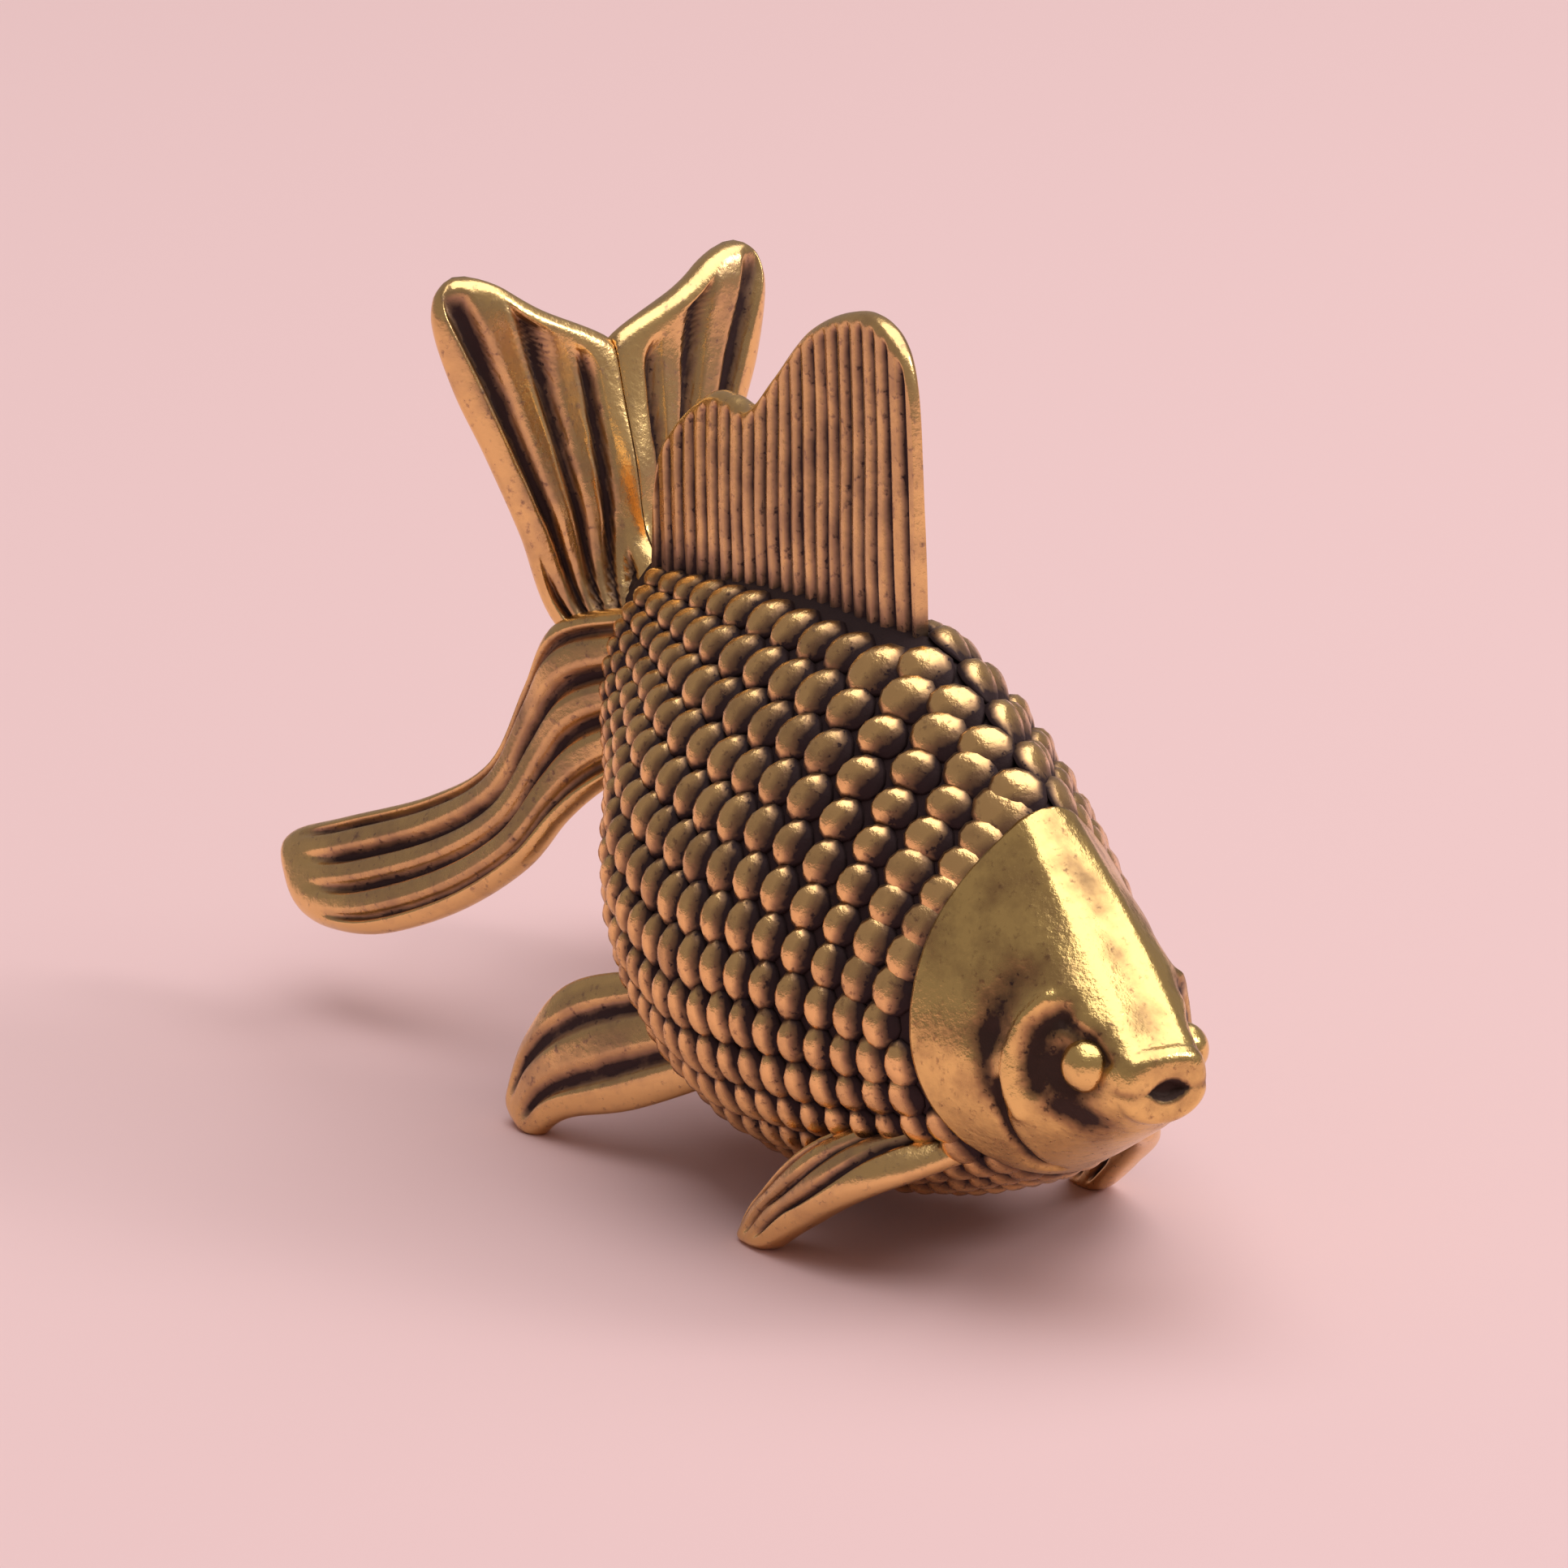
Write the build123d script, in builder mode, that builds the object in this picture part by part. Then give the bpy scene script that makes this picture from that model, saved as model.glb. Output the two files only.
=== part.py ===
from build123d import *

import os
from math import cos, radians, sin

# Goldfish figurine in cast brass: a trunk with a separate head, eyes, back fin, twin tail and
# paired belly fins, each with a peg or a tongue that is soldered into a socket of its neighbour.
# Frame: +X towards the snout, +Y to the fish's left, +Z up, millimetres.
# The origin lies on the ground under the middle of the fish's length.

# Main sizes of the fish
head_length = 6.6
trunk_length = 23.2
tail_length = 12.2
trunk_width = 12.6
trunk_height = 15.9
belly_clearance = 1.3
solder_gap = 0.05
cut_overrun = 2.0

overall_length = head_length + trunk_length + tail_length
snout_x = overall_length / 2
neck_x = snout_x - head_length
tail_root_x = neck_x - trunk_length

# Trunk outline from the neck (0) to the tail root (1): place along the trunk, heights of the
# back and the belly, half width, and how high between belly and back the widest level lies
trunk_shares = [
    (0.00, 0.780, 0.120, 0.570, 0.36),
    (0.15, 0.906, 0.044, 0.780, 0.36),
    (0.29, 0.994, 0.006, 0.930, 0.37),
    (0.45, 1.000, 0.000, 1.000, 0.38),
    (0.64, 0.980, 0.080, 0.880, 0.41),
    (0.82, 0.943, 0.270, 0.540, 0.46),
    (1.00, 0.900, 0.510, 0.240, 0.50),
]
# How full the flanks are above the widest level, how broad the ridge of the back is, and how many
# narrow strips make the skin of the trunk
flank_share = 0.38
ridge_share = 0.24
trunk_strip_count = 40

# Scales: low domes in rows along each flank, counted down from the ridge of the back. Rings of them
# lean: they stand closer at the belly than at the back, and draw in towards the tail
scale_row_count = 14
scale_first_share = 0.0785
scale_row_share = 0.0643
scale_setback = 3.9
scale_low_spacing = 0.93
scale_high_spacing = 1.55
scale_low_share = 0.60
scale_high_share = 0.14
scale_tail_share = 0.75
scale_fill_share = 0.48
scale_radius_share = 1.03
scale_sink_share = 0.25
scale_clearance = 0.15
scale_tail_gap = 2.4

# Head
gill_step = 0.35
gill_radius = 15.0
gill_bulge = 0.7
snout_width = 2.9
snout_height = 2.4
mouth_height = 7.45
mouth_width = 2.1
mouth_gape = 0.4
mouth_depth = 0.6
neck_peg_radius = 2.4
neck_peg_length = 4.0

# Head outline from the seam (0) to the snout (1): place along the head, then how far the
# heights and the width have gone from the rim of the gill cover (0) to the snout (1)
head_shares = [
    (-0.30, -0.30, -0.25),
    (0.00, 0.00, 0.00),
    (0.30, 0.31, 0.26),
    (0.60, 0.64, 0.60),
    (0.82, 0.88, 0.87),
    (0.94, 1.00, 1.00),
    (1.00, 1.10, 1.16),
]
head_wide_share = 0.38

# Eyes
eye_radius = 0.95
eye_setback = 1.9
eye_rise = 0.55
eye_seat_share = 0.86
eye_toe_angle = 28
eye_tilt_angle = 8
eye_socket_radius = 1.35
eye_socket_depth = 0.45
eye_stem_radius = 0.5
eye_stem_length = 0.9

# Back fin
dorsal_height = 8.8
dorsal_thickness = 1.1
dorsal_seat_depth = 1.2
dorsal_setback = 7.0
dorsal_tail_gap = 1.2
dorsal_length = trunk_length - dorsal_setback - dorsal_tail_gap
dorsal_edge_radius = 0.35
dorsal_groove_radius = 0.22
dorsal_groove_count = 18
dorsal_rim = 0.9
dorsal_lean_angle = 4

# Back fin outline from its front foot: share of the length back, share of the height
dorsal_shares = [
    (0.000, 0.00),
    (0.012, 0.42),
    (0.035, 0.82),
    (0.100, 0.97),
    (0.220, 1.00),
    (0.400, 0.88),
    (0.540, 0.67),
    (0.635, 0.53),
    (0.720, 0.53),
    (0.800, 0.51),
    (0.920, 0.37),
    (0.985, 0.21),
]

# Curves of a quarter of a fin's section, from its rim to its middle, as shares of half the chord and
# half the thickness: a plain oval, and a section with a rim and a broad rib on each side of a groove
oval_quarter = [((1, 0), (1, 0.55), (0.55, 1), (0, 1))]
ribbed_quarter = [
    ((1, 0), (1, 0.75), (0.62, 1.15), (0.52, 0.45)),
    ((0.52, 0.45), (0.42, 0.95), (0.20, 1), (0, 1)),
]

# Twin tail: each half is an upper and a lower lobe that grow from one root
tail_spread = 12.6
tail_rise = 11.6
tail_drop = 9.6
tail_thickness = 1.5
tail_root_length = 2.2
tail_root_width_share = 0.7
tail_root_height_share = 0.8
tail_peg_radius = 0.9
tail_peg_length = 3.0

# Lobes of the tail from root to tip: each row holds the front edge and the rear edge as shares of
# the tail's length back, half spread out and rise up or drop down, then the share of the thickness
upper_lobe_shares = [
    ((-0.10, 0.02, 0.24), (-0.10, 0.14, -0.10), 1.00),
    ((0.02, 0.02, 0.34), (0.18, 0.38, 0.09), 1.00),
    ((0.08, 0.02, 0.52), (0.14, 0.53, 0.33), 1.00),
    ((0.14, 0.02, 0.67), (0.17, 0.68, 0.54), 1.00),
    ((0.18, 0.04, 0.79), (0.20, 0.81, 0.71), 1.00),
    ((0.20, 0.37, 0.90), (0.24, 0.88, 0.88), 1.00),
    ((0.25, 0.62, 0.99), (0.27, 0.82, 0.99), 0.75),
]
lower_lobe_shares = [
    ((-0.12, 0.13, 0.29), (-0.12, 0.13, -0.22), 1.00),
    ((-0.07, 0.33, 0.38), (0.17, 0.39, -0.12), 1.00),
    ((-0.02, 0.48, 0.48), (0.20, 0.41, 0.10), 1.00),
    ((0.05, 0.64, 0.64), (0.28, 0.51, 0.37), 1.00),
    ((0.24, 0.79, 0.82), (0.50, 0.62, 0.60), 1.00),
    ((0.48, 0.95, 0.96), (0.77, 0.80, 0.74), 1.00),
    ((0.72, 1.00, 1.00), (0.93, 0.91, 0.84), 0.95),
    ((0.89, 0.99, 0.98), (1.00, 0.95, 0.91), 0.75),
]

# Front pair of belly fins, behind the gill covers; their roots start inside the flank by the inset
pectoral_length = 7.4
pectoral_reach = 3.0
pectoral_root_height = 4.6
pectoral_setback = 0.2
pectoral_root_inset = 2.34
pectoral_thickness = 1.1
pectoral_peg_radius = 0.45
pectoral_peg_length = 2.4

# Rear pair of belly fins
pelvic_length = 8.2
pelvic_reach = 2.0
pelvic_root_height = 5.6
pelvic_setback = 12.2
pelvic_root_inset = 0.5
pelvic_thickness = 1.1
pelvic_peg_radius = 0.45
pelvic_peg_length = 2.6

# Belly fins from root to tip: front edge and rear edge as shares of the fin's length back, reach
# out and root height above the ground, then the share of the thickness
pectoral_shares = [
    ((-0.05, -0.30, 0.92), (0.30, -0.10, 1.06), 1.00),
    ((0.13, 0.50, 0.68), (0.63, 0.72, 0.72), 1.00),
    ((0.47, 0.84, 0.33), (0.91, 0.88, 0.26), 1.00),
    ((0.80, 0.97, -0.03), (1.00, 0.95, -0.03), 0.90),
]
pelvic_shares = [
    ((-0.10, -0.40, 0.60), (0.25, -0.40, 1.05), 1.00),
    ((0.30, 0.40, 0.30), (0.68, 0.50, 0.86), 1.00),
    ((0.62, 0.85, 0.14), (0.89, 0.80, 0.52), 1.00),
    ((0.80, 1.00, -0.05), (1.00, 0.96, 0.06), 0.90),
]


def blend(start, end, share):
    """The value a share of the way from start to end."""
    return start + (end - start) * share


def table_row(shares, along):
    """The row of a table of shares at a place along it, read in a straight line between rows."""
    for before, after in zip(shares, shares[1:]):
        if along <= after[0]:
            break
    part_way = (along - before[0]) / (after[0] - before[0])
    return tuple(blend(low, high, part_way) for low, high in zip(before, after))


def trunk_x(along):
    """Where a share of the trunk's length lies on the X axis."""
    return neck_x - trunk_length * along


def trunk_outline(along):
    """Half width, top, bottom and widest level of the trunk at a share of its length."""
    _, back, belly, width, wide = table_row(trunk_shares, along)
    top = belly_clearance + trunk_height * back
    bottom = belly_clearance + trunk_height * belly
    return width * trunk_width / 2, top, bottom, blend(bottom, top, wide)


def smooth_outline(along):
    """The trunk's outline at a share of its length, read on a curve through the rows of its table."""
    rows = [(row[0], *trunk_outline(row[0])) for row in trunk_shares]
    place = 0
    while place < len(rows) - 2 and along > rows[place + 1][0]:
        place += 1
    before, low = rows[max(place - 1, 0)], rows[place]
    high, after = rows[place + 1], rows[min(place + 2, len(rows) - 1)]
    span = high[0] - low[0]
    t = (along - low[0]) / span
    values = []
    for a, b, c, d in zip(before[1:], low[1:], high[1:], after[1:]):
        low_slope = (c - a) * span / (high[0] - before[0])
        high_slope = (d - b) * span / (after[0] - low[0])
        bend = 2 * b - 2 * c + low_slope + high_slope
        lean = 3 * c - 3 * b - 2 * low_slope - high_slope
        values.append(((bend * t + lean) * t + low_slope) * t + b)
    return values


def flank_line(along):
    """Line down the right flank of the trunk, from the ridge of the back to the belly."""
    half_width, top, bottom, wide = smooth_outline(along)
    flank = blend(wide, top, flank_share)
    ridge = half_width * ridge_share
    with BuildLine(Plane.YZ.offset(trunk_x(along))) as line:
        Bezier((0, top), (-ridge, top), (-half_width, flank), (-half_width, wide))
        EllipticalCenterArc((0, wide), half_width, wide - bottom, 180, arc_size=90)
    return line.wire()


def scale_rows():
    """Places of the right flank's scales: share along the trunk, share down the flank and spacing."""
    places = []
    for row in range(scale_row_count):
        down = scale_first_share + scale_row_share * row
        rise = min(1, (scale_low_share - down) / (scale_low_share - scale_high_share))
        spacing = blend(scale_low_spacing, scale_high_spacing, max(0, rise))
        rearward = scale_setback
        while rearward > spacing:
            rearward -= spacing
        while rearward < trunk_length - scale_tail_gap:
            along = rearward / trunk_length
            step = spacing * blend(1, scale_tail_share, max(0, 2 * along - 1))
            places.append((along, down, step))
            rearward += step
    return places


def scale_ball(along, down, spacing):
    """Middle and radius of the ball whose cap is one scale of the right flank."""
    line = flank_line(along)
    reach = spacing / trunk_length / 4
    rearward = flank_line(along + reach) @ down - flank_line(along - reach) @ down
    outward = rearward.cross(line % down).normalized()
    spread = scale_fill_share * min(spacing, scale_row_share * line.length)
    return line @ down - outward * (spread * scale_sink_share), spread * scale_radius_share


def head_x(along):
    """Where a share of the head's length lies on the X axis."""
    return neck_x + head_length * along


def head_outline(along):
    """Half width, top, bottom and widest level of the head at a share of its length."""
    _, height_blend, width_blend = table_row(head_shares, along)
    neck_half_width, neck_top, neck_bottom, _ = trunk_outline(0)
    top = blend(neck_top + gill_step, mouth_height + snout_height / 2, height_blend)
    bottom = blend(neck_bottom - gill_step, mouth_height - snout_height / 2, height_blend)
    half_width = blend(neck_half_width + gill_step, snout_width / 2, width_blend)
    return half_width, top, bottom, blend(bottom, top, head_wide_share)


def fish_loft(stations, ruled=False):
    """Loft upright sections: a half ellipse below the widest level and flanks that rise to a ridge."""
    with BuildPart() as made:
        for x, (half_width, top, bottom, wide) in stations:
            flank = blend(wide, top, flank_share)
            ridge = half_width * ridge_share
            with BuildSketch(Plane.YZ.offset(x)):
                with BuildLine():
                    Bezier((half_width, wide), (half_width, flank), (ridge, top), (0, top))
                    Bezier((0, top), (-ridge, top), (-half_width, flank), (-half_width, wide))
                    EllipticalCenterArc((0, wide), half_width, wide - bottom, 180, arc_size=180)
                make_face()
        loft(ruled=ruled)
    return made.part


def blade_loft(stations, thickness, quarter):
    """Loft a blade through sections of four like quarters, set across its front and its rear edge."""
    middles = [(front + rear) / 2 for front, rear, _ in stations]
    with BuildPart() as made:
        for place, (front, rear, thickness_share) in enumerate(stations):
            before = middles[max(place - 1, 0)]
            after = middles[min(place + 1, len(middles) - 1)]
            chord = rear - front
            across = chord.cross(after - before)
            section = Plane(origin=middles[place], x_dir=chord, z_dir=across.cross(chord))
            half_chord = chord.length / 2
            half_thickness = thickness * thickness_share / 2
            with BuildSketch(section):
                with BuildLine():
                    for chord_way, thick_way in ((1, 1), (-1, 1), (-1, -1), (1, -1)):
                        side = half_chord * chord_way
                        crown = half_thickness * thick_way
                        for curve in quarter:
                            Bezier(*[(side * chord_share, crown * share) for chord_share, share in curve])
                make_face()
        loft()
    return made.part


def eye_seat(side):
    """Plane on the floor of an eye socket, looking out of it; side is 1 on the left, -1 right."""
    along = (head_length - eye_setback) / head_length
    swing = radians(eye_toe_angle)
    tilt = radians(eye_tilt_angle)
    outward = Vector(sin(swing) * cos(tilt), side * cos(swing) * cos(tilt), sin(tilt))
    surface = Vector(head_x(along), side * head_outline(along)[0] * eye_seat_share, mouth_height + eye_rise)
    return Plane(origin=surface - outward * eye_socket_depth, z_dir=outward)


def tail_point(back, out, up, height):
    """A point of the right tail half from its shares; height is a rise, or a drop below zero."""
    root_level = trunk_outline(1)[3]
    return Vector(tail_root_x - tail_length * back, -tail_spread / 2 * out, root_level + height * up)


def tail_root_end(outline):
    """Rear section of the tail's root, drawn in from the trunk's last section."""
    half_width, top, bottom, wide = outline
    return (half_width * tail_root_width_share, blend(wide, top, tail_root_height_share),
            blend(wide, bottom, tail_root_height_share), wide)


def lobe(shares, height):
    """One lobe of the right tail half."""
    stations = [(tail_point(*front, height), tail_point(*rear, height), t) for front, rear, t in shares]
    return blade_loft(stations, tail_thickness, ribbed_quarter)


def belly_fin_stations(shares, setback, inset, length, reach, root_height):
    """Front edge, rear edge and thickness share of a right belly fin from root to tip."""
    flank = trunk_outline((setback + length / 2) / trunk_length)[0]

    def point(back, out, up):
        return Vector(neck_x - setback - length * back, inset - flank - reach * out, root_height * up)

    return [(point(*front), point(*rear), t) for front, rear, t in shares]


def peg_start(stations):
    """Where the peg of a right belly fin starts, inside the blade near the skin of the trunk."""
    root, neighbour = [(front + rear) / 2 for front, rear, _ in stations[:2]]
    return (root + neighbour) / 2


def peg_plane(stations, side):
    """Plane at the start of a belly fin's peg, looking across into the trunk."""
    start = peg_start(stations)
    return Plane(origin=(start.X, -side * start.Y, start.Z), z_dir=(0, -side, 0))


pectoral_stations = belly_fin_stations(pectoral_shares, pectoral_setback, pectoral_root_inset,
                                       pectoral_length, pectoral_reach, pectoral_root_height)
pelvic_stations = belly_fin_stations(pelvic_shares, pelvic_setback, pelvic_root_inset,
                                     pelvic_length, pelvic_reach, pelvic_root_height)

strip_ends = [strip / trunk_strip_count for strip in range(trunk_strip_count + 1)]
hull = fish_loft([(trunk_x(along), smooth_outline(along)) for along in strip_ends], ruled=True)
head_blank = fish_loft([(head_x(row[0]), head_outline(row[0])) for row in head_shares])
upper_lobe = lobe(upper_lobe_shares, tail_rise)
lower_lobe = lobe(lower_lobe_shares, -tail_drop)
pectoral_blade = blade_loft(pectoral_stations, pectoral_thickness, oval_quarter)
pelvic_blade = blade_loft(pelvic_stations, pelvic_thickness, oval_quarter)
tail_root = fish_loft([(tail_root_x - solder_gap, trunk_outline(1)),
                       (tail_root_x - tail_root_length, tail_root_end(trunk_outline(1)))])

# Shared places: the round seam behind the gill covers, the levels of the pegs and the eye seats
neck_level = trunk_outline(0)[3]
tail_level = trunk_outline(1)[3]
gill_centre = (neck_x - gill_bulge + gill_radius, neck_level)
eye_right_seat = eye_seat(-1)
eye_left_seat = eye_seat(1)
belly_pegs = [(pectoral_stations, pectoral_peg_radius, pectoral_peg_length),
              (pelvic_stations, pelvic_peg_radius, pelvic_peg_length)]

# Balls of the scales that clear the gill covers, the back fin and the belly fins
scale_balls = []
for scale_place in scale_rows():
    middle, radius = scale_ball(*scale_place)
    room = radius + scale_clearance
    gill_reach = (Vector(middle.X, 0, middle.Z) - Vector(gill_centre[0], 0, gill_centre[1])).length
    fin_reach = min(blade.distance_to(middle) for blade in (pectoral_blade, pelvic_blade))
    if min(gill_reach - gill_radius, -middle.Y - dorsal_thickness / 2, fin_reach) > room:
        for side in (-1, 1):
            scale_balls.append(Pos(middle.X, -side * middle.Y, middle.Z) * Sphere(radius))

# Feet of the back fin on the ridge of the back, and the lean of its rays
dorsal_front_x = neck_x - dorsal_setback
dorsal_rear_x = dorsal_front_x - dorsal_length
dorsal_front_z = trunk_outline(dorsal_setback / trunk_length)[1]
dorsal_rear_z = trunk_outline((dorsal_setback + dorsal_length) / trunk_length)[1]
ray = Vector(-sin(radians(dorsal_lean_angle)), 0, cos(radians(dorsal_lean_angle)))


def dorsal_point(back, up):
    """A point of the back fin's outline from its shares, in the plane of the fin."""
    return (dorsal_front_x - dorsal_length * back, dorsal_front_z + dorsal_height * up)


# Trunk
with BuildPart() as body:
    add(hull)
    # Hollow front face that takes the rounded rim of the gill covers
    with BuildSketch(Plane.XZ):
        with Locations(gill_centre):
            Circle(gill_radius)
    extrude(amount=trunk_width, both=True, mode=Mode.SUBTRACT)
    # Bore for the neck peg
    with BuildSketch(Plane.YZ.offset(neck_x)):
        with Locations((0, neck_level)):
            Circle(neck_peg_radius + solder_gap)
    extrude(amount=-(gill_bulge + neck_peg_length + solder_gap), mode=Mode.SUBTRACT)
    # Slot for the tongue of the back fin
    with BuildSketch(Plane.XZ):
        with BuildLine():
            Polyline(
                (dorsal_front_x + solder_gap, dorsal_front_z - dorsal_seat_depth - solder_gap),
                (dorsal_front_x + solder_gap, dorsal_front_z + dorsal_height),
                (dorsal_rear_x - solder_gap, dorsal_rear_z + dorsal_height),
                (dorsal_rear_x - solder_gap, dorsal_rear_z - dorsal_seat_depth - solder_gap),
                close=True,
            )
        make_face()
    extrude(amount=dorsal_thickness / 2 + solder_gap, both=True, mode=Mode.SUBTRACT)
    # Bore for the paired pegs of the tail
    with BuildSketch(Plane.YZ.offset(tail_root_x)):
        with Locations((0, tail_level)):
            Circle(tail_peg_radius + solder_gap)
    extrude(amount=tail_peg_length + solder_gap, mode=Mode.SUBTRACT)
    # Bores for the pegs of the belly fins
    for stations, radius, length in belly_pegs:
        for side in (-1, 1):
            with BuildSketch(peg_plane(stations, side)):
                Circle(radius + solder_gap)
            extrude(amount=length + solder_gap, mode=Mode.SUBTRACT)
    add(scale_balls)

# Head with its gill covers, mouth, eye sockets and neck peg
with BuildPart() as head:
    add(head_blank)
    with BuildSketch(Plane.XZ):
        with Locations(gill_centre):
            Circle(gill_radius - solder_gap)
    extrude(amount=trunk_width, both=True, mode=Mode.INTERSECT)
    with BuildSketch(Plane.YZ.offset(neck_x)):
        with Locations((0, neck_level)):
            Circle(neck_peg_radius)
    extrude(amount=-(gill_bulge + neck_peg_length))
    with BuildSketch(Plane.YZ.offset(snout_x)):
        with Locations((0, mouth_height)):
            Ellipse(mouth_width / 2, mouth_gape / 2)
    extrude(amount=-mouth_depth, mode=Mode.SUBTRACT)
    for seat in (eye_right_seat, eye_left_seat):
        with BuildSketch(seat):
            Circle(eye_socket_radius)
        extrude(amount=eye_socket_depth + cut_overrun, mode=Mode.SUBTRACT)
        with BuildSketch(seat):
            Circle(eye_stem_radius + solder_gap)
        extrude(amount=-(eye_stem_length + solder_gap), mode=Mode.SUBTRACT)

# Eye beads, each a dome on a stem
with BuildPart(eye_right_seat.offset(solder_gap)) as eye_right:
    Sphere(eye_radius, arc_size1=0, align=(Align.CENTER, Align.CENTER, Align.MIN))
    Cylinder(eye_stem_radius, eye_stem_length, align=(Align.CENTER, Align.CENTER, Align.MAX))

# Back fin: a fluted plate with a rounded rim and a tongue in the trunk's slot
with BuildPart() as dorsal_fin:
    with BuildSketch(Plane.XZ):
        with BuildLine():
            crown = Spline(*[dorsal_point(back, up) for back, up in dorsal_shares])
            Polyline(
                crown @ 1,
                (dorsal_rear_x, dorsal_rear_z),
                (dorsal_rear_x, dorsal_rear_z - dorsal_seat_depth),
                (dorsal_front_x, dorsal_front_z - dorsal_seat_depth),
                crown @ 0,
            )
        make_face()
    extrude(amount=dorsal_thickness / 2, both=True)
    rim_edges = dorsal_fin.edges().filter_by(GeomType.BSPLINE)
    fillet(rim_edges, dorsal_edge_radius)
    for groove in range(dorsal_groove_count):
        back = blend(dorsal_rim / dorsal_length, 1, (groove + 0.5) / dorsal_groove_count)
        foot_z = blend(dorsal_front_z, dorsal_rear_z, back)
        crown_z = dorsal_point(back, table_row(dorsal_shares, back)[1])[1]
        groove_foot = (dorsal_front_x - dorsal_length * back, 0, foot_z)
        with BuildSketch(Plane(origin=groove_foot, x_dir=(0, 1, 0), z_dir=ray)):
            with Locations((dorsal_thickness / 2, 0), (-dorsal_thickness / 2, 0)):
                Circle(dorsal_groove_radius)
        extrude(amount=crown_z - dorsal_rim - foot_z, mode=Mode.SUBTRACT)

# Right half of the tail: two lobes on half of the tail's root, with half of the round peg
with BuildPart() as tail_fin_right:
    add(tail_root)
    add(upper_lobe)
    add(lower_lobe)
    add(hull, mode=Mode.SUBTRACT)
    with BuildSketch(Plane.YZ.offset(tail_root_x - tail_root_length / 2)):
        with Locations((0, tail_level)):
            Circle(tail_peg_radius)
    extrude(amount=tail_root_length / 2 + tail_peg_length)
    split(bisect_by=Plane.XZ.offset(solder_gap / 2), keep=Keep.TOP)

# Right front belly fin, cut flat where it stands on the ground
with BuildPart() as pectoral_fin_right:
    add(pectoral_blade)
    add(hull, mode=Mode.SUBTRACT)
    add(head.part, mode=Mode.SUBTRACT)
    with BuildSketch(peg_plane(pectoral_stations, -1)):
        Circle(pectoral_peg_radius)
    extrude(amount=pectoral_peg_length)
    split(bisect_by=Plane.XY, keep=Keep.TOP)

# Right rear belly fin, cut flat where it stands on the ground
with BuildPart() as pelvic_fin_right:
    add(pelvic_blade)
    add(hull, mode=Mode.SUBTRACT)
    with BuildSketch(peg_plane(pelvic_stations, -1)):
        Circle(pelvic_peg_radius)
    extrude(amount=pelvic_peg_length)
    split(bisect_by=Plane.XY, keep=Keep.TOP)

pieces = {"body": body.part, "head": head.part, "dorsal_fin": dorsal_fin.part}
right_pieces = {"eye": eye_right, "tail_fin": tail_fin_right,
                "pectoral_fin": pectoral_fin_right, "pelvic_fin": pelvic_fin_right}
for name, right in right_pieces.items():
    with BuildPart() as left:
        mirror(right.part, about=Plane.XZ)
    pieces[f"{name}_right"] = right.part
    pieces[f"{name}_left"] = left.part

os.makedirs("parts", exist_ok=True)
for name, piece in pieces.items():
    piece.label = name
    export_step(piece, f"parts/{name}.step")
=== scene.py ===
# %% [markdown]
# # A brass goldfish, piece by piece
# This lesson dresses a small cast-brass goldfish, about as long as a thumb. The imported CAD part is the
# frame: it says where every piece sits and how large it is.

# %% Load the frame
import math
import random
from functools import lru_cache

import bmesh
import bpy
from mathutils import Matrix, Vector


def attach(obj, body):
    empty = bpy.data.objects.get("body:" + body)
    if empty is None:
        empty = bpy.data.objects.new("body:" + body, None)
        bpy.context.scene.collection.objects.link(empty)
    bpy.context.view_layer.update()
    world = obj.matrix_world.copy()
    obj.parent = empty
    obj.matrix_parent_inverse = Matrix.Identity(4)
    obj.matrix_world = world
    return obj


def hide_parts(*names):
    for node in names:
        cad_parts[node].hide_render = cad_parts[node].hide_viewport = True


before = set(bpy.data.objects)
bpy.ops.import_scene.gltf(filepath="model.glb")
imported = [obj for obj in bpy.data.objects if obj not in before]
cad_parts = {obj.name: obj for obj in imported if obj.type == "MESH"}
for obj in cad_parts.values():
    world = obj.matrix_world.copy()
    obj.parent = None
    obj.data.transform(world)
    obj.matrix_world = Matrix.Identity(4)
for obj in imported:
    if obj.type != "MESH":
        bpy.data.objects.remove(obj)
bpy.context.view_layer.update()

# %% [markdown]
# ## Working in millimetres
# Blender's unit is the metre, and a fish of 42 mm makes awkward numbers in metres. So every piece is
# modelled in millimetres, and its mesh is scaled down once, as the last step, by one helper. Each vertex
# also carries a number called wear: 0 in a crevice, where the brown patina stays, and 1 on a crown that
# hands have rubbed bright. On the head the same number also holds painted shade, a painted dark
# reflection and painted highlights. The finishes read it later.

# %% Start and finish a piece
MILLIMETRE = 0.001


def start_piece():
    """A new mesh with a wear layer, made first because a new layer would lose track of vertices."""
    mesh = bmesh.new()
    return mesh, mesh.verts.layers.float.new("wear_and_painted_light")


def finish_piece(mesh, name, finish):
    """Turn a mesh in millimetres into an object in metres that stands for a node of the frame."""
    bmesh.ops.recalc_face_normals(mesh, faces=mesh.faces)
    bmesh.ops.scale(mesh, vec=(MILLIMETRE, MILLIMETRE, MILLIMETRE), verts=mesh.verts)
    for face in mesh.faces:
        face.smooth = True
    data = bpy.data.meshes.new(name)
    mesh.to_mesh(data)
    mesh.free()
    data.materials.append(finish)
    piece = bpy.data.objects.new(name, data)
    bpy.context.scene.collection.objects.link(piece)
    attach(piece, "root")
    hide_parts(name.removesuffix("_look"))
    print(name, "has", len(data.vertices), "vertices and", len(data.polygons), "faces")


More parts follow.
